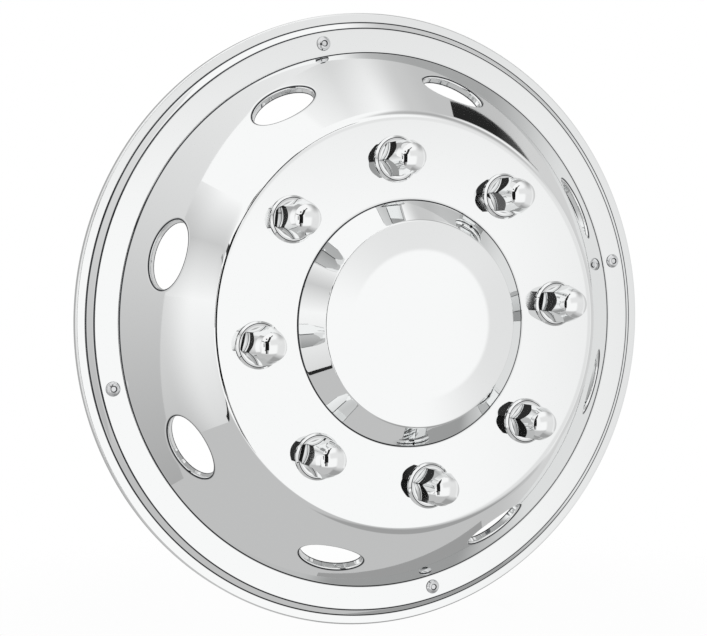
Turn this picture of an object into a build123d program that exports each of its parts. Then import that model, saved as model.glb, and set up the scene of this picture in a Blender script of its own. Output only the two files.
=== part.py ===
from build123d import *
import os
from math import cos, hypot, radians, sin

# Front wheel simulator for a steel truck wheel. Millimetres and degrees.
# The wheel axis is Y, the show side faces -Y, and +Z is up. The origin is the centre of the rim seat.
# Heights are measured forward from the seat. Leads are counter-clockwise from straight up, seen from the front.

# Pattern
NUT_COUNT = 8
NUT_CIRCLE = 275.0
NUT_LEAD = 6.4
RIVET_COUNT = 4
RIVET_LEAD = 12.4

# Pressed liner: outer lip and rivet ring
SHEET = 0.9
RIM_RADIUS = 268.0
SKIRT_HEIGHT = 4.2
LIP_RUN = 8.5
LIP_RISE = 3.0
STEP_RUN = 5.5
STEP_RISE = 5.1
RING_WIDTH = 21.0

# Pressed liner: flank, face and hub dome
FACE_RADIUS = 175.0
FACE_RISE = 68.2
SHOULDER_BEND = 11.0
HUB_RADIUS = 103.0
HUB_WALL_RUN = 17.2
HUB_WALL_RISE = 17.7
HUB_CROWN_RUN = 24.4
HUB_CROWN_RISE = 2.0

# Hand holes: ovals midway between the nuts, with collars turned in along the flank's normal
HAND_HOLE_LENGTH = 58.0
HAND_HOLE_WIDTH = 32.0
HAND_HOLE_CLIMB = 38.0
COLLAR_DEPTH = 7.0

# Dummy lug nuts, each with a square shank through the face
FLANGE_RADIUS = 19.5
FLANGE_HEIGHT = 2.6
HEX_SIDES = 6
HEX_FLATS = 28.0
DOME_FOOT = 19.5
DOME_WAIST_RADIUS = 13.2
DOME_WAIST = 29.0
NUT_TIP_RADIUS = 8.0
NUT_HEIGHT = 37.0
SHANK_WIDTH = 8.0
SHANK_LENGTH = 6.0
SHANK_CLEARANCE = 0.2
# Degrees that each hexagon's left-hand corner lies below level: the nuts are not turned alike.
NUT_TURNS = (6, -8, 21, -12, -13, 16, 17, 25)

# Push-on plates behind the face that hold the shanks
RETAINER_WIDTH = 20.0
RETAINER_SHEET = 0.8
RETAINER_CLEARANCE = 0.05

# Rivets through the ring
RIVET_INSET = 10.0
RIVET_HEAD_RADIUS = 6.2
RIVET_CROWN_RADIUS = 4.0
RIVET_HEAD_HEIGHT = 2.8
RIVET_RADIUS = 3.2
RIVET_CLEARANCE = 0.1
RIVET_TAIL_RADIUS = 4.8
RIVET_TAIL_HEIGHT = 2.0

# Spring clips that the rivets hold behind the ring
CLIP_SHEET = 1.2
CLIP_WIDTH = 18.0
CLIP_TOE = 7.0
CLIP_HEEL = 6.5
CLIP_LEG = 21.0
CLIP_BARB_LENGTH = 9.0
CLIP_BARB_REACH = 5.0

# Places that follow from the sizes above
STEP_FOOT_RADIUS = RIM_RADIUS - LIP_RUN
STEP_FOOT_HEIGHT = SKIRT_HEIGHT + LIP_RISE
RING_OUTER_RADIUS = STEP_FOOT_RADIUS - STEP_RUN
RING_INNER_RADIUS = RING_OUTER_RADIUS - RING_WIDTH
RING_HEIGHT = STEP_FOOT_HEIGHT + STEP_RISE
FACE_HEIGHT = RING_HEIGHT + FACE_RISE
HUB_EDGE_RADIUS = HUB_RADIUS - HUB_WALL_RUN
HUB_EDGE_HEIGHT = FACE_HEIGHT + HUB_WALL_RISE
HUB_CROWN_RADIUS = HUB_EDGE_RADIUS - HUB_CROWN_RUN
HUB_CROWN_HEIGHT = HUB_EDGE_HEIGHT + HUB_CROWN_RISE
FLANK_RUN = RING_INNER_RADIUS - FACE_RADIUS
FLANK_LENGTH = hypot(FLANK_RUN, FACE_RISE)
RIVET_CIRCLE_RADIUS = RING_OUTER_RADIUS - RIVET_INSET
NUT_PITCH = 360 / NUT_COUNT
RIVET_PITCH = 360 / RIVET_COUNT


def radial(lead):
    """Unit vector from the axis towards a lead."""
    return Vector(-sin(radians(lead)), 0, cos(radians(lead)))


def seat_plane(lead, radius, height):
    """Plane that faces forward at a place on the wheel, with its X pointing away from the axis."""
    return Plane(radial(lead) * radius - Vector(0, height, 0), x_dir=radial(lead), z_dir=(0, -1, 0))


def turned(shape, lead):
    """A shape modelled along +X, turned about the axis to a lead."""
    return shape.rotate(Axis.Y, -90 - lead)


def section_point(radius, height):
    """Place of a radius and a height in the section plane, which is XY."""
    return (radius, -height)


def liner_front():
    """Front of the sheet in section, from the axis out to the seat. Only the shoulder has a wide bend."""
    corners = [
        (HUB_CROWN_RADIUS, HUB_CROWN_HEIGHT, 0),
        (HUB_EDGE_RADIUS, HUB_EDGE_HEIGHT, 0),
        (HUB_RADIUS, FACE_HEIGHT, 0),
        (FACE_RADIUS, FACE_HEIGHT, SHOULDER_BEND),
        (RING_INNER_RADIUS, RING_HEIGHT, 0),
        (RING_OUTER_RADIUS, RING_HEIGHT, 0),
        (STEP_FOOT_RADIUS, STEP_FOOT_HEIGHT, 0),
        (RIM_RADIUS, SKIRT_HEIGHT, 0),
    ]
    points = [section_point(0, HUB_CROWN_HEIGHT)]
    points += [section_point(radius, height) for radius, height, bend in corners]
    points += [section_point(RIM_RADIUS, 0)]
    return FilletPolyline(*points, radius=[bend for radius, height, bend in corners])


def hand_hole_plane(lead):
    """Plane on the flank at a hand hole, with its X along the oval and its Z out of the flank."""
    along = HAND_HOLE_CLIMB / FLANK_LENGTH
    radius = RING_INNER_RADIUS - FLANK_RUN * along
    height = RING_HEIGHT + FACE_RISE * along
    out = radial(lead) * FACE_RISE - Vector(0, FLANK_RUN, 0)
    return Plane(radial(lead) * radius - Vector(0, height, 0), x_dir=radial(lead + 90), z_dir=out)


def hand_hole_prism(plane, wall):
    """Oval prism through the flank, from the collar's free end to well clear of the front."""
    oval = Ellipse(HAND_HOLE_LENGTH / 2 + wall, HAND_HOLE_WIDTH / 2 + wall)
    return extrude(plane.offset(-COLLAR_DEPTH) * oval, COLLAR_DEPTH + HAND_HOLE_WIDTH / 2)


def wheel_liner():
    """One pressing: a revolved sheet with eight collared hand holes, and holes for the nuts and rivets."""
    front = liner_front()
    sheet = revolve(make_face(offset(front, SHEET, side=Side.LEFT, kind=Kind.INTERSECTION)), Axis.Y)
    # The collars are trimmed to the middle of the sheet, so that they end inside it and merge with it.
    floor = Polyline(section_point(RIM_RADIUS, 0), section_point(0, 0), section_point(0, HUB_CROWN_HEIGHT))
    inside = revolve(make_face(front.edges() + floor.edges()), Axis.Y).moved(Location((0, SHEET / 2, 0)))
    # The seam of each revolve is turned to a nut, clear of every hand hole.
    sheet = turned(sheet, NUT_LEAD)
    inside = turned(inside, NUT_LEAD)
    hole_planes = [hand_hole_plane(NUT_LEAD + NUT_PITCH * (i + 0.5)) for i in range(NUT_COUNT)]
    collars = [hand_hole_prism(plane, SHEET) & inside for plane in hole_planes]
    openings = [hand_hole_prism(plane, 0) for plane in hole_planes]
    liner = sheet + collars - openings
    shank_hole = SHANK_WIDTH + 2 * SHANK_CLEARANCE
    liner -= [plane * Box(shank_hole, shank_hole, 4 * SHEET) for plane in nut_planes()]
    liner -= [plane * Cylinder(RIVET_RADIUS + RIVET_CLEARANCE, 4 * SHEET) for plane in rivet_planes()]
    return liner


def nut_planes():
    """Planes of the nuts on the face, clockwise from the top, with X towards each hexagon's left-hand corner."""
    planes = []
    for i, turn in enumerate(NUT_TURNS):
        seat = seat_plane(NUT_LEAD - NUT_PITCH * i, NUT_CIRCLE / 2, FACE_HEIGHT)
        planes.append(Plane(seat.origin, x_dir=(-cos(radians(turn)), 0, -sin(radians(turn))), z_dir=seat.z_dir))
    return planes


def lug_nut():
    """Dummy nut: a flange, a hexagon whose flats die into a bullet-shaped dome, and a shank. Z is out of the face."""
    hexagon = RegularPolygon(HEX_FLATS / 2, HEX_SIDES, major_radius=False)
    corner = hexagon.vertices().sort_by(Axis.X)[-1].X
    # The dome's lower cone meets the corners of the hexagon at the dome's foot.
    taper = (corner - DOME_WAIST_RADIUS) / (DOME_WAIST - DOME_FOOT)
    bullet = Polyline(
        (0, 0), (corner + taper * DOME_FOOT, 0), (DOME_WAIST_RADIUS, DOME_WAIST),
        (NUT_TIP_RADIUS, NUT_HEIGHT), (0, NUT_HEIGHT), (0, 0))
    body = extrude(hexagon, NUT_HEIGHT) & revolve(Plane.XZ * make_face(bullet), Axis.Z)
    flange = extrude(Circle(FLANGE_RADIUS), FLANGE_HEIGHT)
    shank = extrude(Rectangle(SHANK_WIDTH, SHANK_WIDTH), -SHANK_LENGTH)
    return body + flange + shank


def nut_retainer():
    """Square push-on plate that grips a nut's shank behind the face. Z is out of the face."""
    grip = SHANK_WIDTH + 2 * RETAINER_CLEARANCE
    plate = Rectangle(RETAINER_WIDTH, RETAINER_WIDTH) - Rectangle(grip, grip)
    return Pos(0, 0, -SHEET) * extrude(plate, -RETAINER_SHEET)


def rivet_planes():
    """Planes of the rivets on the ring, clockwise from the top, with X pointing away from the axis."""
    return [
        seat_plane(RIVET_LEAD - RIVET_PITCH * i, RIVET_CIRCLE_RADIUS, RING_HEIGHT) for i in range(RIVET_COUNT)]


def clip_rivet():
    """Rivet with a raised head, through the ring and a clip. Z is out of the ring."""
    grip = SHEET + CLIP_SHEET
    half = Polyline(
        (0, RIVET_HEAD_HEIGHT), (RIVET_CROWN_RADIUS, RIVET_HEAD_HEIGHT), (RIVET_HEAD_RADIUS, 0), (RIVET_RADIUS, 0),
        (RIVET_RADIUS, -grip), (RIVET_TAIL_RADIUS, -grip), (RIVET_RADIUS, -grip - RIVET_TAIL_HEIGHT),
        (0, -grip - RIVET_TAIL_HEIGHT), (0, RIVET_HEAD_HEIGHT))
    return revolve(Plane.XZ * make_face(half), Axis.Z)


def rim_clip():
    """Spring clip: a foot under the ring, a leg back into the wheel and a barb. X points away from the axis."""
    foot = -SHEET - CLIP_SHEET / 2
    barb = foot - CLIP_LEG - CLIP_BARB_LENGTH
    path = Polyline(
        (CLIP_TOE, foot), (-CLIP_HEEL, foot), (-CLIP_HEEL, foot - CLIP_LEG),
        (CLIP_BARB_REACH - CLIP_HEEL, barb), (-CLIP_HEEL, barb - CLIP_BARB_LENGTH))
    strip = make_face(offset(path, CLIP_SHEET / 2, kind=Kind.INTERSECTION))
    clip = extrude(Plane.XZ * strip, CLIP_WIDTH / 2, both=True)
    return clip - Cylinder(RIVET_RADIUS + RIVET_CLEARANCE, 4 * CLIP_SHEET)


def main():
    os.makedirs("parts", exist_ok=True)
    export_step(wheel_liner(), "parts/wheel_liner.step")
    export_step(Compound([plane * lug_nut() for plane in nut_planes()]), "parts/lug_nuts.step")
    export_step(Compound([plane * nut_retainer() for plane in nut_planes()]), "parts/nut_retainers.step")
    export_step(Compound([plane * clip_rivet() for plane in rivet_planes()]), "parts/clip_rivets.step")
    for i, plane in enumerate(rivet_planes()):
        export_step(plane * rim_clip(), f"parts/rim_clip_{i + 1}.step")


main()
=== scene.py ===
from math import acos, atan2, cos, degrees, hypot, pi, radians, sin, tan

import bpy
from mathutils import Matrix, Vector


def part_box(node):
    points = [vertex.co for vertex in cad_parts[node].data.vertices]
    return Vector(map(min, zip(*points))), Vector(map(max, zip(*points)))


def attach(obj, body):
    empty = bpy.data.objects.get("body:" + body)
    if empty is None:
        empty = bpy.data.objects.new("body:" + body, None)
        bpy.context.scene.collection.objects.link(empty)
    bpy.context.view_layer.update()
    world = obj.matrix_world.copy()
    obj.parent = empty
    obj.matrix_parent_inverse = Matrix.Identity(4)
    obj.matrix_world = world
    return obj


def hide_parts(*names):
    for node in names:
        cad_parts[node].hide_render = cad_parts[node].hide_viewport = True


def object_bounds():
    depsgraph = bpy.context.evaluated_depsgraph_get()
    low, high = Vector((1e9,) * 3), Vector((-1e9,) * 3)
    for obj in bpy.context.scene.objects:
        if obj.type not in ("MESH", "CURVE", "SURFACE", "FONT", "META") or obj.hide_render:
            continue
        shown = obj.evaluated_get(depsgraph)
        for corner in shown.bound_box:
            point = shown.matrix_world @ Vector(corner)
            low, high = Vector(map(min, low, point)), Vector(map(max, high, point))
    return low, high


# Polished truck wheel simulator. Sizes are in millimetres until MM turns them into metres.
# The wheel axis is Y, the show side faces -Y and +Z is up. Heights run forward from the rim seat.
# Leads are degrees counter-clockwise from straight up, seen from the front.

MM = 0.001
WHITE = (1.0, 1.0, 1.0, 1.0)

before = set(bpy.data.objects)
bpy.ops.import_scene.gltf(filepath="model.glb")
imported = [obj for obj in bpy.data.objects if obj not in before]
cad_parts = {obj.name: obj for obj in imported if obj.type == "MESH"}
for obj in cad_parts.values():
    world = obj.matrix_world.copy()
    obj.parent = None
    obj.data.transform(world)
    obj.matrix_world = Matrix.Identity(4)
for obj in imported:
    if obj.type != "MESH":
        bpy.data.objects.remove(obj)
cad_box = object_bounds()

# Liner section
SHEET = 0.9
RIM_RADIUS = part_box("wheel_liner")[1].x / MM
SKIRT_HEIGHT = 7.0                          # the lip is nearly level with the step's foot
STEP_FOOT_RADIUS, STEP_FOOT_HEIGHT = 259.5, 7.2
RING_OUTER_RADIUS, RING_INNER_RADIUS, RING_HEIGHT = 254.0, 233.0, 12.3
FACE_RADIUS, FACE_HEIGHT = 175.0, 80.5
HUB_RADIUS = 103.0
HUB_EDGE_RADIUS, HUB_EDGE_HEIGHT = 85.8, 98.2
HUB_CROWN_RADIUS, HUB_CROWN_HEIGHT = 61.4, 100.2
LIP_BEND, STEP_BEND, RING_BEND = 1.6, 3.0, 3.2
SHOULDER_BEND, HUB_FOOT_BEND, HUB_EDGE_BEND, HUB_CROWN_BEND = 11.0, 4.0, 3.0, 40.0

# Flank, from the ring up to the face
FLANK_RUN = RING_INNER_RADIUS - FACE_RADIUS
FLANK_RISE = FACE_HEIGHT - RING_HEIGHT
FLANK_LENGTH = hypot(FLANK_RUN, FLANK_RISE)
FLANK_TURN = atan2(FLANK_RISE, FLANK_RUN)

# Hand holes, with their middle at a distance up the flank
HAND_HOLE_LENGTH, HAND_HOLE_WIDTH = 58.0, 32.0
HAND_HOLE_CLIMB = 38.0
COLLAR_BEND, COLLAR_DEPTH = 2.5, 7.0

# Nuts. The turns of their hexagons, in degrees, start at the top nut and go round clockwise.
NUT_COUNT, NUT_CIRCLE_RADIUS, NUT_LEAD = 8, 137.5, 6.4
NUT_TURNS = (6, -8, 21, -12, -13, 16, 17, 25)
FLANGE_RADIUS, FLANGE_EDGE, FLANGE_EDGE_ROUND = 19.5, 1.6, 0.8
FLANGE_CREST_RADIUS, FLANGE_CREST, FLANGE_CREST_BEND = 17.6, 2.9, 1.2
FLANGE_ROOT_RADIUS, FLANGE_ROOT = 13.5, 3.4
HEX_FLATS, DOME_FOOT = 28.0, 19.5
DOME_WAIST_RADIUS, DOME_WAIST, DOME_WAIST_BEND = 13.3, 29.0, 20.0
DOME_TOP_RADIUS, DOME_TOP, DOME_TOP_BEND = 11.3, 34.2, 1.0
NUT_TIP_RADIUS, NUT_HEIGHT, NUT_TIP_BEND = 5.8, 37.0, 24.0
SHANK_WIDTH, SHANK_LENGTH = 8.0, 6.0
SHANK_BEVEL, SHANK_BEVEL_STEPS = 0.5, 2
NUT_OVERLAP, NUT_SPIN_START = 1.0, 1.0      # keep faces and corners apart where the nut's pieces are cut together

# Rivets
RIVET_COUNT, RIVET_CIRCLE_RADIUS, RIVET_LEAD = 4, 244.0, 12.4
RIVET_FLOOR_RADIUS, RIVET_FLOOR, RIVET_FLOOR_BEND = 2.1, 1.8, 0.4
RIVET_DIMPLE_RADIUS, RIVET_HEAD_HEIGHT, RIVET_DIMPLE_BEND = 2.6, 2.8, 0.3
RIVET_CROWN_RADIUS, RIVET_CROWN, RIVET_CROWN_BEND = 5.0, 2.1, 3.0
RIVET_HEAD_RADIUS, RIVET_EDGE, RIVET_EDGE_BEND = 6.2, 0.6, 0.8
RIVET_RADIUS, RIVET_GRIP = 3.2, 2.1
RIVET_TAIL_RADIUS, RIVET_TAIL_TIP_RADIUS, RIVET_TAIL_HEIGHT, RIVET_TAIL_BEND = 4.8, 4.2, 2.0, 0.6

# Mesh fineness. Steps of bends are in degrees, and edges that turn by more than a sharp angle stay sharp.
PANEL_COLUMNS, PANEL_ROWS, PANEL_RINGS = 36, 24, 8
LINER_SPIN, NUT_SPIN, RIVET_SPIN = NUT_COUNT * PANEL_COLUMNS, 128, 64
LINER_STEP, COLLAR_STEP, NUT_STEP, FEWEST_STEPS = 5.0, 10.0, 3.0, 3
LINER_SHARP, NUT_SHARP, RIVET_SHARP = 40, 9, 30
SUPPORT = 0.8
JOIN_GAP, SPIN_GAP = 0.02, 0.001
RIM_MATCH = 0.001                           # share of its radius by which a point may miss the hand hole's rim
PANEL_LOW = RING_BEND * tan(FLANK_TURN / 2) + 2 * SUPPORT
PANEL_HIGH = FLANK_LENGTH - SHOULDER_BEND * tan(FLANK_TURN / 2) - 2 * SUPPORT

# Haze of the polish: the mop leaves a track about 40 mm wide
CLOUD_SIZE, CLOUD_DETAIL = 40.0, 3.0

# Painted dark lines: painted shade in creases and at seats, and painted dark reflections along edges. A line fades
# between two shares of its width, counted from its middle.
SHADE_LINE_TINT = "393B3E"
LINE_FULL, LINE_GONE = 0.35, 0.6
CREASE_RADII = RING_INNER_RADIUS, RING_OUTER_RADIUS, STEP_FOOT_RADIUS, HUB_RADIUS
CREASE_HALF_WIDTH = 0.6
# Painted shade and dark reflection lines round the hand holes, at the start of the collar's bend and in its throat
COLLAR_ATTRIBUTE, COLLAR_LINES = "collar_depth", ((0.1, 0.9), (6.0, 7.2))
PLACE_ATTRIBUTE = "own_place"
# Painted shade and dark reflection lines on the rivets
RIVET_LINES = (                             # radii and heights round the rivet's own axis
    ((5.6, 6.8), (-0.4, 0.7)),              # edge of the head
    ((2.0, 2.8), (1.5, 3.1)),               # edge of the dimple
)
# Painted shade and dark reflection lines on the nuts: contact shade at the flange's seat, dark lines along its edges
NUT_LINES = (                               # the same round the nut's axis
    ((19.0, 20.0), (-0.5, 0.6)),            # rim of the flange
    ((17.2, 17.9), (1.0, 3.4)),             # crest of its bevel
    ((12.0, 18.0), (3.3, 3.9)),             # foot of the hexagon
    ((15.9, 17.0), (3.8, 25.0)),            # corners of the hexagon
)

# Floor
FLOOR_RADIUS, FLOOR_DROP = 550.0, 0.5
FLOOR_FADE = 0.45                           # share of the radius at which the floor starts to fade out
FLOOR_TINT, FLOOR_GLOW = "DDDDDD", 0.97
ROUND_STEPS = 96

# Camera of the photograph
PHOTO_WIDTH, SENSOR_WIDTH = 707, 36.0
CAMERA_AZIMUTH, CAMERA_ELEVATION = -23.27, 2.11
CAMERA_DISTANCE, CAMERA_TARGET = 1394.6, (-20.1, -2.0, -0.7)
CAMERA_FOCAL_PIXELS, CAMERA_DROP_PIXELS = 1592.0, 3.5

# Tent round the wheel. Each panel is an azimuth and an elevation seen from the wheel, half a width and half a height,
# a soft edge, all in degrees, and a brightness. Azimuth runs to the right of straight ahead of the face.
TENT_PANELS = (
    ((180, 0), 52, 80, 10.0, 0.42),         # open back of the tent
    ((0, -90), 62, 62, 4.0, 0.55),          # ground beyond the floor
    ((50, -56), 25, 18, 4.0, 0.36),         # its shaded part, right in front
    ((112, 2), 40, 31, 6.0, 0.66),          # right wall
    ((82, 62), 30, 8, 5.0, 0.62),           # slope above it
    ((50, 0), 18, 30, 6.0, 0.80),           # front right, less lit
    ((30, 15), 26, 10, 5.0, 0.82),          # its upper part
    ((60, 44), 14, 20, 12.0, 0.42),         # shaded corner, upper right
    ((121, 42), 12, 14, 4.0, 0.56),         # corner behind it
)

# Cards that stand near the wheel. Each has a name, a centre in metres, the azimuth that it stands at and its roll in
# degrees, a width and a height in metres, a brightness at its foot and at its top, and the share of it left at its
# right-hand edge. The edge darkens between two places, in the card's own widths from its middle.
EDGE_START, EDGE_END = 0.375, 0.435
CAMERA_Y = -1.40
LEFT_X, LEFT_Y = -0.40, -0.30
LEFT_TRIM_X = LEFT_X + MM
TENT_CARDS = (
    ("camera_gap", (-0.3385, CAMERA_Y, 0.07), 0, 0, 0.34, 0.80, 0.01, 0.01, 1),
    ("camera_foot", (-0.412, CAMERA_Y, -0.515), 0, 0, 0.104, 0.37, 0.01, 0.01, 1),
    ("camera_case", (-0.2865, CAMERA_Y, -0.515), 0, 0, 0.147, 0.37, 0.35, 0.35, 1),
    ("camera_hood", (-0.37, CAMERA_Y, 0.68), 0, 0, 0.14, 0.14, 0.02, 0.02, 1),
    ("left_slit", (-0.62, CAMERA_Y, 0.425), 0, -27, 0.63, 0.06, 0.06, 0.06, 1),
    ("right_slit", (-0.10, CAMERA_Y, 0.65), 0, 62, 0.52, 0.20, 0.03, 0.03, 1),
    ("right_slit_end", (0.20, CAMERA_Y, 1.00), 0, 42, 0.42, 0.09, 0.10, 0.10, 1),
    ("camera_front", (-0.625, CAMERA_Y, 0.12), 0, 0, 0.075, 0.36, 0.03, 0.03, 1),
    ("camera_side", (-0.51, CAMERA_Y, -0.36), 0, 0, 0.08, 0.14, 0.12, 0.12, 1),
    ("left_wall", (LEFT_X, LEFT_Y, -0.109), 90, 0, 0.54, 0.318, 0.72, 0.98, 0.75),
    ("left_wall_upper", (LEFT_X, LEFT_Y, 0.12), 90, 0, 0.54, 0.14, 0.98, 0.62, 0.8),
    ("left_wall_brow", (LEFT_X, LEFT_Y, 0.275), 90, 0, 0.54, 0.17, 0.62, 1.0, 0.85),
    ("left_wall_top", (LEFT_TRIM_X, -0.43, 0.172), 90, 0, 0.28, 0.012, 0.25, 0.25, 1),
    # Black strip along the foot of the left wall: a painted shadow where the wall meets the floor
    ("left_wall_foot_shadow", (LEFT_TRIM_X, -0.349, -0.2565), 90, 0, 0.442, 0.023, 0.02, 0.02, 1),
)

# Cloths that curve round the wheel axis. Each has a name, a radius, a front and a rear, planes as a place and the
# direction in which they cut the cloth away, all in metres, and two heights with the brightness at each.
TENT_ARCS = (
    ("tent_back", 0.40, -0.12, 0.30,
     (((0.06, 0, 0), (1, 0, 0)), ((0, 0.0415, 0), (0.2738, -1, -0.0496)), ((0, 0.0915, 0), (-0.2738, 1, 0.0496)),
      ((0, 0, -0.268), (0, 0, -1))),
     (-0.268, 0.40, 0.42, 0.85)),
    ("dark_flap", 0.80, 0.05, 0.34,
     (((0, 0, 0), (-0.834, 0, 0.552)), ((0, 0, 0), (0.5, 0, -0.866)),
      ((0.457, 0.177, 0), (-0.498, 1, 0)), ((0.457, 0.117, 0), (0.498, -1, 0))),
     (0.42, 0.55, 0.12, 0.02)),
    ("floor_shade", 0.30, -0.004, 0.06,
     (((0, 0, 0), (0, 0, 1)), ((-0.05, 0, 0), (-1, 0, 0)), ((0.16, 0, 0), (1, 0, 0))),
     (-0.30, -0.25, 0.34, 0.34)),
)


def colour(hex_code):
    """Linear colour of an sRGB hex code."""
    parts = [int(hex_code[i:i + 2], 16) / 255 for i in (0, 2, 4)]
    return tuple(p / 12.92 if p <= 0.04045 else ((p + 0.055) / 1.055) ** 2.4 for p in parts) + (1.0,)


def node(tree, kind, links=(), values=(), **settings):
    """Adds a shader node, sets its properties and input values, and links (input, node, output) triples into it."""
    made = tree.nodes.new(kind)
    for name, value in settings.items():
        setattr(made, name, value)
    for name, value in values:
        made.inputs[name].default_value = value
    for name, source, output in links:
        tree.links.new(source.outputs[output], made.inputs[name])
    return made


def cleared(owner):
    """Empty node tree of a new material or world."""
    owner.use_nodes = True
    owner.node_tree.nodes.clear()
    return owner.node_tree


def radial(lead):
    """Unit vector from the wheel axis towards a lead."""
    return Vector((-sin(radians(lead)), 0, cos(radians(lead))))


def facing(azimuth, elevation):
    """Unit vector from the wheel towards an azimuth and an elevation, in radians."""
    return Vector((sin(azimuth) * cos(elevation), -cos(azimuth) * cos(elevation), sin(elevation)))


def deselect():
    bpy.ops.object.select_all(action="DESELECT")


def pick(piece):
    """Makes a piece the only one selected, and the active one."""
    deselect()
    piece.select_set(True)
    bpy.context.view_layer.objects.active = piece


def open_edit(piece):
    """Opens a piece in edit mode with everything in it selected."""
    pick(piece)
    bpy.ops.object.mode_set(mode="EDIT")
    bpy.ops.mesh.select_all(action="SELECT")


def close_edit():
    bpy.ops.object.mode_set(mode="OBJECT")


def apply_modifier(piece, kind, **settings):
    """Adds a modifier to a piece and applies it."""
    pick(piece)
    modifier = piece.modifiers.new(kind.title(), kind)
    for name, value in settings.items():
        setattr(modifier, name, value)
    bpy.ops.object.modifier_apply(modifier=modifier.name)


def joined(pieces, name, merged=True):
    """Joins pieces into the first one and merges the edges where they meet, unless they only overlap."""
    pick(pieces[0])
    for piece in pieces[1:]:
        piece.select_set(True)
    bpy.ops.object.join()
    pieces[0].name = name
    if merged:
        open_edit(pieces[0])
        bpy.ops.mesh.remove_doubles(threshold=JOIN_GAP * MM)
        close_edit()
    return pieces[0]


def smoothed(piece, angle):
    """Shades a piece smooth, apart from edges sharper than an angle in degrees."""
    pick(piece)
    bpy.ops.object.shade_smooth_by_angle(angle=radians(angle))


def rounded(corners, step, supported=True):
    """Points of a section whose (radius, height, bend) corners are rounded in steps of some degrees.

    A support point beside each bend keeps the flats flat.
    """
    points = [Vector(corners[0][:2])]
    for before, here, after in zip(corners, corners[1:], corners[2:]):
        corner, bend = Vector(here[:2]), here[2]
        if not bend:
            points.append(corner)
            continue
        back = (Vector(before[:2]) - corner).normalized()
        ahead = (Vector(after[:2]) - corner).normalized()
        turn = pi - acos(max(-1.0, min(1.0, back.dot(ahead))))
        reach = bend * tan(turn / 2)
        centre = corner + (back + ahead).normalized() * (bend / cos(turn / 2))
        first = corner + back * reach - centre
        side = 1 if first.cross(corner + ahead * reach - centre) > 0 else -1
        steps = max(FEWEST_STEPS, round(degrees(turn) / step))
        if supported:
            points.append(corner + back * (reach + SUPPORT))
        start = atan2(first.y, first.x)
        for i in range(steps + 1):
            angle = start + side * turn * i / steps
            points.append(centre + bend * Vector((cos(angle), sin(angle))))
        if supported:
            points.append(corner + ahead * (reach + SUPPORT))
    points.append(Vector(corners[-1][:2]))
    return points


def spun(name, points, across, axis, steps):
    """Draws a section point by point, out along one direction and up along the axis, and spins it round the axis."""
    deselect()
    bpy.ops.mesh.primitive_plane_add(size=MM)
    piece = bpy.context.object
    piece.name = name
    open_edit(piece)
    bpy.ops.mesh.merge(type="CENTER")
    places = [(across * p.x + axis * p.y) * MM for p in points]
    bpy.ops.transform.translate(value=places[0])
    for here, after in zip(places, places[1:]):
        bpy.ops.mesh.extrude_region_move(TRANSFORM_OT_translate={"value": after - here})
    bpy.ops.mesh.select_all(action="SELECT")
    bpy.ops.mesh.spin(steps=steps, angle=2 * pi, use_auto_merge=True, center=(0, 0, 0), axis=axis)
    bpy.ops.mesh.select_all(action="SELECT")
    bpy.ops.mesh.remove_doubles(threshold=SPIN_GAP * MM)
    bpy.ops.mesh.normals_make_consistent(inside=False)
    close_edit()
    return piece


def flank_corner(climb):
    """Radius and height on the flank at a distance up from the ring, with no bend."""
    along = climb / FLANK_LENGTH
    return (RING_INNER_RADIUS - FLANK_RUN * along, RING_HEIGHT + FLANK_RISE * along, 0)


def divide_sides(panel, lengthwise, cuts):
    """Cuts the sides of a panel's outline that run along X, or else those along Y."""
    verts = panel.data.vertices
    chosen = []
    for edge in panel.data.edges:
        span = verts[edge.vertices[0]].co - verts[edge.vertices[1]].co
        chosen.append((abs(span.x) > abs(span.y)) == lengthwise)
    open_edit(panel)
    bpy.ops.mesh.select_mode(type="EDGE")
    bpy.ops.mesh.select_all(action="DESELECT")
    close_edit()
    for edge, wanted in zip(panel.data.edges, chosen):
        edge.select = wanted
    bpy.ops.object.mode_set(mode="EDIT")
    bpy.ops.mesh.subdivide(number_cuts=cuts)
    close_edit()


def turn_collar_in(panel, centre, rim):
    """Grows the collar from the edge of a panel's oval hole: round the bend, then straight in along -Z."""
    steps = round(90 / COLLAR_STEP)
    angles = [pi / 2 * i / steps for i in range(steps + 1)]
    offsets = [(COLLAR_BEND * (1 - sin(angle)), COLLAR_BEND * (1 - cos(angle))) for angle in angles]
    offsets += [(0, COLLAR_BEND + SUPPORT), (0, COLLAR_DEPTH)]
    place = Vector(centre)
    for vertex in panel.data.vertices:
        spot = (vertex.co - place) / MM
        vertex.select = abs(hypot(spot.x / rim[0], spot.y / rim[1]) - 1) < RIM_MATCH
    bpy.ops.object.mode_set(mode="EDIT")
    bpy.ops.mesh.select_mode(type="EDGE")
    bpy.ops.mesh.select_mode(type="VERT")
    depth = 0
    for out, low in offsets:
        ring = HAND_HOLE_LENGTH / 2 + out, HAND_HOLE_WIDTH / 2 + out
        bpy.ops.mesh.extrude_edges_move(TRANSFORM_OT_translate={"value": (0, 0, (depth - low) * MM)})
        bpy.ops.transform.resize(value=(ring[0] / rim[0], ring[1] / rim[1], 1), center_override=centre)
        rim, depth = ring, low
    close_edit()


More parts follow.
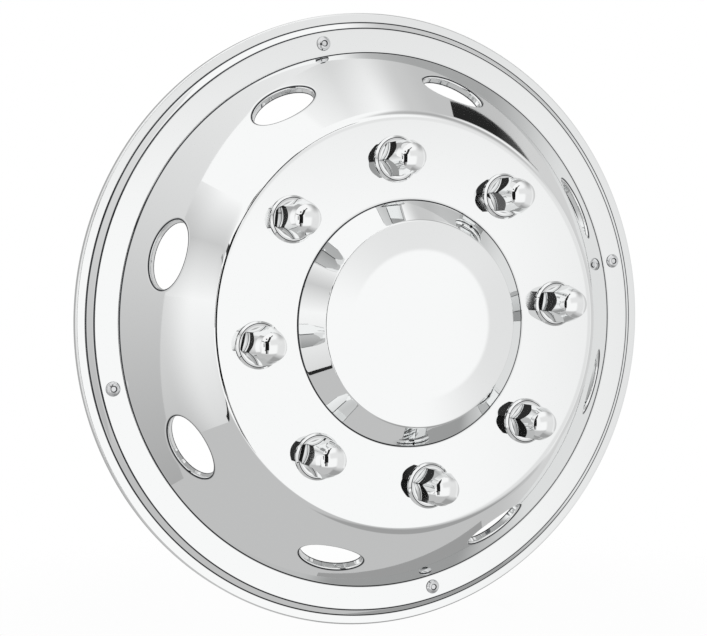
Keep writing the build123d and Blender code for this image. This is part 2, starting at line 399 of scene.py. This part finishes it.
def hand_hole_panel():
    """One eighth of the flank laid flat, with its hand hole: X runs along the rim and Y up the flank."""
    half_width = flank_corner(HAND_HOLE_CLIMB)[0] * pi / NUT_COUNT * MM
    deselect()
    bpy.ops.mesh.primitive_plane_add(size=2)
    panel = bpy.context.object
    open_edit(panel)
    bpy.ops.transform.resize(value=(half_width, (PANEL_HIGH - PANEL_LOW) / 2 * MM, 1))
    bpy.ops.transform.translate(value=(0, (PANEL_HIGH + PANEL_LOW) / 2 * MM, 0))
    bpy.ops.mesh.delete(type="ONLY_FACE")
    close_edit()
    divide_sides(panel, True, PANEL_COLUMNS - 1)
    divide_sides(panel, False, PANEL_ROWS - 1)
    open_edit(panel)
    centre = (0, HAND_HOLE_CLIMB * MM, 0)
    rim = [size / 2 + COLLAR_BEND + SUPPORT for size in (HAND_HOLE_LENGTH, HAND_HOLE_WIDTH)]
    bpy.ops.mesh.select_all(action="DESELECT")
    bpy.ops.mesh.primitive_circle_add(vertices=2 * (PANEL_COLUMNS + PANEL_ROWS), radius=MM, location=centre)
    bpy.ops.transform.resize(value=(*rim, 1), center_override=centre)
    bpy.ops.mesh.select_all(action="SELECT")
    bpy.ops.mesh.bridge_edge_loops(number_cuts=PANEL_RINGS, interpolation="LINEAR")
    bpy.ops.mesh.select_all(action="DESELECT")
    close_edit()
    turn_collar_in(panel, centre, rim)
    depths = panel.data.attributes.new(COLLAR_ATTRIBUTE, "FLOAT", "POINT")
    depths.data.foreach_set("value", [-vertex.co.z / MM for vertex in panel.data.vertices])
    return panel


def wrapped(flat, lead):
    """A copy of the flat panel wrapped round the cone of the flank, with its middle at a lead."""
    piece = flat.copy()
    piece.data = flat.data.copy()
    bpy.context.collection.objects.link(piece)
    middle = flank_corner(HAND_HOLE_CLIMB)[0]
    for vertex in piece.data.vertices:
        x, climb, out = vertex.co / MM
        radius, height, _ = flank_corner(climb)
        radius += out * FLANK_RISE / FLANK_LENGTH
        height += out * FLANK_RUN / FLANK_LENGTH
        vertex.co = (radial(lead + degrees(x / middle)) * radius - Vector((0, height, 0))) * MM
    return piece


def wheel_liner():
    """The pressing: spun hub, face, ring and lip, with eight flank panels between them, thickened to sheet metal."""
    dome = rounded([
        (0, HUB_CROWN_HEIGHT, 0), (HUB_CROWN_RADIUS, HUB_CROWN_HEIGHT, HUB_CROWN_BEND),
        (HUB_EDGE_RADIUS, HUB_EDGE_HEIGHT, HUB_EDGE_BEND), (HUB_RADIUS, FACE_HEIGHT, HUB_FOOT_BEND),
        (FACE_RADIUS, FACE_HEIGHT, SHOULDER_BEND), flank_corner(PANEL_HIGH)], LINER_STEP)
    lip = rounded([
        flank_corner(PANEL_LOW), (RING_INNER_RADIUS, RING_HEIGHT, RING_BEND),
        (RING_OUTER_RADIUS, RING_HEIGHT, STEP_BEND), (STEP_FOOT_RADIUS, STEP_FOOT_HEIGHT, STEP_BEND),
        (RIM_RADIUS, SKIRT_HEIGHT, LIP_BEND), (RIM_RADIUS, 0, 0)], LINER_STEP)
    forward = Vector((0, -1, 0))
    parts = [spun("dome", dome, radial(NUT_LEAD), forward, LINER_SPIN),
             spun("lip", lip, radial(NUT_LEAD), forward, LINER_SPIN)]
    flat = hand_hole_panel()
    pitch = 360 / NUT_COUNT
    parts += [wrapped(flat, NUT_LEAD + pitch * (i + 0.5)) for i in range(NUT_COUNT)]
    bpy.data.objects.remove(flat)
    liner = joined(parts, "polished_liner")
    open_edit(liner)
    bpy.ops.mesh.normals_make_consistent(inside=False)
    close_edit()
    hub = min(liner.data.polygons, key=lambda face: face.center.y)
    if hub.normal.y > 0:
        open_edit(liner)
        bpy.ops.mesh.flip_normals()
        close_edit()
    apply_modifier(liner, "SOLIDIFY", thickness=SHEET * MM, offset=-1, use_even_offset=True)
    smoothed(liner, LINER_SHARP)
    return liner


def keep_places(piece):
    """Keeps the places of a piece's points round its own axis, in millimetres, for its material."""
    places = piece.data.attributes.new(PLACE_ATTRIBUTE, "FLOAT_VECTOR", "POINT")
    places.data.foreach_set("vector", [axis / MM for vertex in piece.data.vertices for axis in vertex.co])


def lug_nut():
    """Dummy nut standing on the origin with Z out of the face: flange, hexagon dying into a dome, and square shank."""
    up = Vector((0, 0, 1))
    across = Vector((cos(radians(NUT_SPIN_START)), sin(radians(NUT_SPIN_START)), 0))
    corner = HEX_FLATS / 2 / cos(radians(30))
    taper = (corner - DOME_WAIST_RADIUS) / (DOME_WAIST - DOME_FOOT)
    dome = spun("dome", rounded([
        (0, -NUT_OVERLAP, 0), (corner + taper * (DOME_FOOT + NUT_OVERLAP), -NUT_OVERLAP, 0),
        (DOME_WAIST_RADIUS, DOME_WAIST, DOME_WAIST_BEND), (DOME_TOP_RADIUS, DOME_TOP, DOME_TOP_BEND),
        (NUT_TIP_RADIUS, NUT_HEIGHT, NUT_TIP_BEND), (0, NUT_HEIGHT, 0)],
        NUT_STEP, supported=False), across, up, NUT_SPIN)
    flange = spun("flange", rounded([
        (0, 0, 0), (FLANGE_RADIUS, 0, 0), (FLANGE_RADIUS, FLANGE_EDGE, FLANGE_EDGE_ROUND),
        (FLANGE_CREST_RADIUS, FLANGE_CREST, FLANGE_CREST_BEND), (FLANGE_ROOT_RADIUS, FLANGE_ROOT, 0),
        (0, FLANGE_ROOT, 0)],
        NUT_STEP, supported=False), across, up, NUT_SPIN)
    deselect()
    bpy.ops.mesh.primitive_cylinder_add(
        vertices=6, radius=corner * MM, depth=NUT_HEIGHT * MM,
        location=(0, 0, (NUT_HEIGHT / 2 + NUT_OVERLAP) * MM), rotation=(0, 0, pi / 2))
    nut = bpy.context.object
    bpy.ops.object.transform_apply(location=True, rotation=True, scale=True)
    apply_modifier(nut, "BOOLEAN", operation="INTERSECT", object=dome, solver="EXACT")
    apply_modifier(nut, "BOOLEAN", operation="UNION", object=flange, solver="EXACT")
    deselect()
    bpy.ops.mesh.primitive_cube_add(
        size=1, location=(0, 0, -SHANK_LENGTH / 2 * MM),
        scale=(SHANK_WIDTH * MM, SHANK_WIDTH * MM, SHANK_LENGTH * MM))
    shank = bpy.context.object
    bpy.ops.object.transform_apply(location=True, rotation=True, scale=True)
    apply_modifier(shank, "BEVEL", width=SHANK_BEVEL * MM, segments=SHANK_BEVEL_STEPS)
    nut = joined([nut, shank], "lug_nut", merged=False)
    for spare in (dome, flange):
        bpy.data.objects.remove(spare)
    smoothed(nut, NUT_SHARP)
    keep_places(nut)
    return nut


def clip_rivet():
    """Rivet on the origin with Z out of the ring: a domed head with a dimple, a shank and a set tail."""
    tail = -RIVET_GRIP - RIVET_TAIL_HEIGHT
    section = rounded([
        (0, RIVET_FLOOR, 0), (RIVET_FLOOR_RADIUS, RIVET_FLOOR, RIVET_FLOOR_BEND),
        (RIVET_DIMPLE_RADIUS, RIVET_HEAD_HEIGHT, RIVET_DIMPLE_BEND),
        (RIVET_CROWN_RADIUS, RIVET_CROWN, RIVET_CROWN_BEND), (RIVET_HEAD_RADIUS, RIVET_EDGE, RIVET_EDGE_BEND),
        (RIVET_HEAD_RADIUS, 0, 0), (RIVET_RADIUS, 0, 0), (RIVET_RADIUS, -RIVET_GRIP, 0),
        (RIVET_TAIL_RADIUS, -RIVET_GRIP, 0), (RIVET_TAIL_TIP_RADIUS, tail, RIVET_TAIL_BEND), (0, tail, 0)],
        NUT_STEP, supported=False)
    rivet = spun("clip_rivet", section, Vector((1, 0, 0)), Vector((0, 0, 1)), RIVET_SPIN)
    smoothed(rivet, RIVET_SHARP)
    keep_places(rivet)
    return rivet


def placed(model, name, lead, radius, height, turn):
    """A copy of a piece modelled on the origin, set on the wheel with its own X turned below level on the left."""
    copy = model.copy()
    copy.data = model.data.copy()
    copy.name = name
    bpy.context.collection.objects.link(copy)
    across = Vector((-cos(radians(turn)), 0, -sin(radians(turn))))
    out = Vector((0, -1, 0))
    basis = Matrix((across, out.cross(across), out)).transposed().to_4x4()
    basis.translation = (radial(lead) * radius + out * height) * MM
    copy.data.transform(basis)
    return copy


def band(tree, source, output, low, high):
    """A mask that is 1 between two values and fades out just beyond them."""
    offset = node(tree, "ShaderNodeMath", [(0, source, output)], [(1, (low + high) / 2)], operation="SUBTRACT")
    away = node(tree, "ShaderNodeMath", [(0, offset, 0)], operation="ABSOLUTE")
    return node(tree, "ShaderNodeMapRange", [("Value", away, 0)],
                [("From Min", LINE_GONE * (high - low)), ("From Max", LINE_FULL * (high - low))])


def liner_creases(tree):
    """Masks of the painted shade and dark reflection lines at the liner's creases, by radius round the wheel axis and
    by depth into the collars.
    """
    where = node(tree, "ShaderNodeTexCoord")
    flat = node(tree, "ShaderNodeVectorMath", [(0, where, "Object")], [(1, (1 / MM, 0, 1 / MM))], operation="MULTIPLY")
    reach = node(tree, "ShaderNodeVectorMath", [(0, flat, "Vector")], operation="LENGTH")
    depth = node(tree, "ShaderNodeAttribute", attribute_name=COLLAR_ATTRIBUTE)
    return ([band(tree, reach, "Value", radius - CREASE_HALF_WIDTH, radius + CREASE_HALF_WIDTH)
             for radius in CREASE_RADII]
            + [band(tree, depth, "Fac", *depths) for depths in COLLAR_LINES])


def own_creases(lines):
    """Gives the masks of the painted shade and dark reflection lines along a turned piece's edges, by radius round its
    own axis and height above its seat.
    """
    def masks(tree):
        place = node(tree, "ShaderNodeAttribute", attribute_name=PLACE_ATTRIBUTE)
        flat = node(tree, "ShaderNodeVectorMath", [(0, place, "Vector")], [(1, (1, 1, 0))], operation="MULTIPLY")
        reach = node(tree, "ShaderNodeVectorMath", [(0, flat, "Vector")], operation="LENGTH")
        axes = node(tree, "ShaderNodeSeparateXYZ", [("Vector", place, "Vector")])
        made = []
        for radii, heights in lines:
            across, up = band(tree, reach, "Value", *radii), band(tree, axes, "Z", *heights)
            made.append(node(tree, "ShaderNodeMath", [(0, across, 0), (1, up, 0)], operation="MULTIPLY"))
        return made
    return masks


def bare_metal(name, tint, roughness, haze, creases=None):
    """Bare metal with a polish that clouds over a little from place to place, and painted shade and dark reflections
    as thin dark lines along its creases and edges.
    """
    material = bpy.data.materials.new(name)
    tree = cleared(material)
    where = node(tree, "ShaderNodeTexCoord")
    clouds = node(tree, "ShaderNodeTexNoise", [("Vector", where, "Object")],
                  [("Scale", 1 / (CLOUD_SIZE * MM)), ("Detail", CLOUD_DETAIL)])
    polish = node(tree, "ShaderNodeMapRange", [("Value", clouds, "Fac")],
                  [("To Min", roughness), ("To Max", roughness + haze)])
    shader = node(tree, "ShaderNodeBsdfPrincipled", [("Roughness", polish, "Result")],
                  [("Base Color", colour(tint)), ("Metallic", 1.0)])
    if creases:
        # Painted shade and dark reflections: the masks darken the metal's colour to thin lines
        painted_shade, *others = creases(tree)
        for mask in others:
            painted_shade = node(tree, "ShaderNodeMath", [(0, painted_shade, 0), (1, mask, 0)], operation="MAXIMUM")
        painted_line_colour = node(tree, "ShaderNodeMix", [("Factor", painted_shade, 0)],
                     [("A", colour(tint)), ("B", colour(SHADE_LINE_TINT))], data_type="RGBA")
        tree.links.new(painted_line_colour.outputs["Result"], shader.inputs["Base Color"])
    node(tree, "ShaderNodeOutputMaterial", [("Surface", shader, "BSDF")])
    return material


def dressed(piece, material, slot=None, replaces=None):
    """Gives a piece its only material and, for a new piece, its body, and hides the CAD node that it stands for."""
    piece.data.materials.clear()
    piece.data.materials.append(material)
    if slot:
        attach(piece, "root")
        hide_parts(replaces)


def tent_panel(tree, where, below, place, half_width, half_height, soft, brightness):
    """Lays one panel over the panels below it, or over plain white."""
    azimuth, elevation = (radians(angle) for angle in place)
    ahead = facing(azimuth, elevation)
    right = Vector((cos(azimuth), sin(azimuth), 0))
    depth = node(tree, "ShaderNodeVectorMath", [(0, where, "Generated")], [(1, ahead)], operation="DOT_PRODUCT")
    covers = []
    for side, half in ((right, half_width), (ahead.cross(right), half_height)):
        offset = node(tree, "ShaderNodeVectorMath", [(0, where, "Generated")], [(1, side)], operation="DOT_PRODUCT")
        angle = node(tree, "ShaderNodeMath", [(0, offset, "Value"), (1, depth, "Value")], operation="ARCTAN2")
        away = node(tree, "ShaderNodeMath", [(0, angle, 0)], operation="ABSOLUTE")
        covers.append(node(tree, "ShaderNodeMapRange", [("Value", away, 0)],
                           [("From Min", radians(half + soft)), ("From Max", radians(half - soft))],
                           interpolation_type="SMOOTHSTEP"))
    cover = node(tree, "ShaderNodeMath", [(0, covers[0], 0), (1, covers[1], 0)], operation="MULTIPLY")
    links = [("Factor", cover, 0)]
    if below is not None:
        links.append(("A", below, 0))
    return node(tree, "ShaderNodeMix", links, [("A", 1.0), ("B", brightness)])


def lit_cloth(cloth, along, start, end, first, last, edge=1):
    """Hides a piece of the tent from the camera, so that only reflections show it, and gives it a brightness graded
    along one of its own axes.

    A share below 1 darkens the edge on its own +X side.
    """
    cloth.visible_camera = False
    material = bpy.data.materials.new(cloth.name)
    tree = cleared(material)
    where = node(tree, "ShaderNodeTexCoord")
    axes = node(tree, "ShaderNodeSeparateXYZ", [("Vector", where, "Object")])
    level = node(tree, "ShaderNodeMapRange", [("Value", axes, along)],
                 [("From Min", start), ("From Max", end), ("To Min", first), ("To Max", last)])
    shade = node(tree, "ShaderNodeMapRange", [("Value", axes, "X")],
                 [("From Min", EDGE_START), ("From Max", EDGE_END), ("To Min", 1.0), ("To Max", edge)],
                 interpolation_type="SMOOTHSTEP")
    strength = node(tree, "ShaderNodeMath", [(0, level, "Result"), (1, shade, "Result")], operation="MULTIPLY")
    glow = node(tree, "ShaderNodeEmission", [("Strength", strength, 0)], [("Color", WHITE)])
    node(tree, "ShaderNodeOutputMaterial", [("Surface", glow, "Emission")])
    cloth.data.materials.append(material)


def tent_card(name, centre, azimuth, roll, width, height, foot, top, edge):
    """Stands one flat card near the wheel."""
    deselect()
    bpy.ops.mesh.primitive_plane_add(size=1, location=centre, rotation=(pi / 2, -radians(roll), radians(azimuth)))
    card = bpy.context.object
    card.name = name
    card.scale = (width, height, 1)
    lit_cloth(card, "Y", -0.5, 0.5, foot, top, edge)


def tent_arc(name, radius, front, rear, cuts, grade):
    """Hangs a cloth that curves round the wheel axis, cut to its outline by planes."""
    deselect()
    bpy.ops.mesh.primitive_cylinder_add(
        vertices=ROUND_STEPS, radius=radius, depth=rear - front, end_fill_type="NOTHING",
        location=(0, (front + rear) / 2, 0), rotation=(pi / 2, 0, 0))
    cloth = bpy.context.object
    cloth.name = name
    bpy.ops.object.transform_apply(location=True, rotation=True, scale=True)
    open_edit(cloth)
    for place, normal in cuts:
        bpy.ops.mesh.select_all(action="SELECT")
        bpy.ops.mesh.bisect(plane_co=place, plane_no=normal, clear_outer=True)
    close_edit()
    lit_cloth(cloth, "Z", *grade)


def white_tent():
    """World that the camera sees as plain white, and the metal as a white tent with grey walls."""
    world = bpy.data.worlds.new("white_tent")
    bpy.context.scene.world = world
    tree = cleared(world)
    where = node(tree, "ShaderNodeTexCoord")
    level = None
    for panel in TENT_PANELS:
        level = tent_panel(tree, where, level, *panel)
    path = node(tree, "ShaderNodeLightPath")
    seen = node(tree, "ShaderNodeMath", [(0, level, 0), (1, path, "Is Camera Ray")], operation="MAXIMUM")
    background = node(tree, "ShaderNodeBackground", [("Strength", seen, 0)], [("Color", WHITE)])
    node(tree, "ShaderNodeOutputWorld", [("Surface", background, "Background")])


def paper_floor():
    """Pale floor under the rim, which takes a faint shadow and fades into the white round it."""
    deselect()
    bpy.ops.mesh.primitive_circle_add(
        vertices=ROUND_STEPS, radius=FLOOR_RADIUS * MM, fill_type="NGON",
        location=(0, 0, cad_box[0].z - FLOOR_DROP * MM))
    floor = bpy.context.object
    floor.name = "floor"
    floor.visible_glossy = False
    paper = bpy.data.materials.new("white_paper")
    tree = cleared(paper)
    matt = node(tree, "ShaderNodeBsdfDiffuse", values=[("Color", colour(FLOOR_TINT))])
    glow = node(tree, "ShaderNodeEmission", values=[("Color", WHITE), ("Strength", 1.0)])
    path = node(tree, "ShaderNodeLightPath")
    seen = node(tree, "ShaderNodeMath", [(0, path, "Is Camera Ray")], [(1, FLOOR_GLOW)], operation="MULTIPLY")
    sheet = node(tree, "ShaderNodeMixShader", [("Fac", seen, 0), (1, matt, "BSDF"), (2, glow, "Emission")])
    clear = node(tree, "ShaderNodeBsdfTransparent")
    where = node(tree, "ShaderNodeTexCoord")
    reach = node(tree, "ShaderNodeVectorMath", [(0, where, "Object")], operation="LENGTH")
    share = node(tree, "ShaderNodeMapRange", [("Value", reach, "Value")],
                 [("From Min", FLOOR_FADE * FLOOR_RADIUS * MM), ("From Max", FLOOR_RADIUS * MM)],
                 interpolation_type="SMOOTHSTEP")
    faded = node(tree, "ShaderNodeMixShader", [("Fac", share, 0), (1, sheet, "Shader"), (2, clear, "BSDF")])
    node(tree, "ShaderNodeOutputMaterial", [("Surface", faded, "Shader")])
    floor.data.materials.append(paper)


def photo_camera():
    """Camera at the photograph's view."""
    data = bpy.data.cameras.new("photo_camera")
    camera = bpy.data.objects.new("photo_camera", data)
    bpy.context.collection.objects.link(camera)
    back = facing(radians(CAMERA_AZIMUTH), radians(CAMERA_ELEVATION))
    camera.location = (Vector(CAMERA_TARGET) + back * CAMERA_DISTANCE) * MM
    camera.rotation_euler = (-back).to_track_quat("-Z", "Y").to_euler()
    data.sensor_width = SENSOR_WIDTH
    data.lens = SENSOR_WIDTH * CAMERA_FOCAL_PIXELS / PHOTO_WIDTH
    data.shift_y = CAMERA_DROP_PIXELS / PHOTO_WIDTH
    bpy.context.scene.camera = camera


def main():
    # Stainless sheet, pressed and then buffed with a mop: a clear, nearly colourless mirror with a breath of haze
    stainless = bare_metal("polished_stainless", "F7F8F8", 0.02, 0.02, liner_creases)
    # Bright chrome plate on smooth nuts: the clearest mirror on the wheel, with hard-edged reflections
    chrome = bare_metal("chrome_plate", "F6F7F7", 0.015, 0.015, own_creases(NUT_LINES))
    # Rivet steel, cold-headed and tumbled bright: greyer than the sheet, with a softened image
    bright_steel = bare_metal("bright_rivet_steel", "DFE0E1", 0.10, 0.05, own_creases(RIVET_LINES))
    # Spring steel strip, rolled and tempered: dark grey and satin, with broad highlights and no image
    spring_steel = bare_metal("spring_steel", "8F9296", 0.28, 0.12)

    dressed(wheel_liner(), stainless, "polished_stainless", "wheel_liner")
    nut = lug_nut()
    for i, turn in enumerate(NUT_TURNS):
        lead = NUT_LEAD - 360 / NUT_COUNT * i
        copy = placed(nut, f"lug_nut_{i + 1}", lead, NUT_CIRCLE_RADIUS, FACE_HEIGHT, turn)
        dressed(copy, chrome, "bright_chrome", "lug_nuts")
    rivet = clip_rivet()
    for i in range(RIVET_COUNT):
        lead = RIVET_LEAD - 360 / RIVET_COUNT * i
        copy = placed(rivet, f"clip_rivet_{i + 1}", lead, RIVET_CIRCLE_RADIUS, RING_HEIGHT, 0)
        dressed(copy, bright_steel, "rivet_steel", "clip_rivets")
    for spare in (nut, rivet):
        bpy.data.objects.remove(spare)
    for name in ("nut_retainers", "rim_clip_1", "rim_clip_2", "rim_clip_3", "rim_clip_4"):
        dressed(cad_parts[name], spring_steel)

    white_tent()
    for card in TENT_CARDS:
        tent_card(*card)
    for arc in TENT_ARCS:
        tent_arc(*arc)
    paper_floor()
    photo_camera()
    bpy.context.scene.view_settings.view_transform = "Standard"


main()
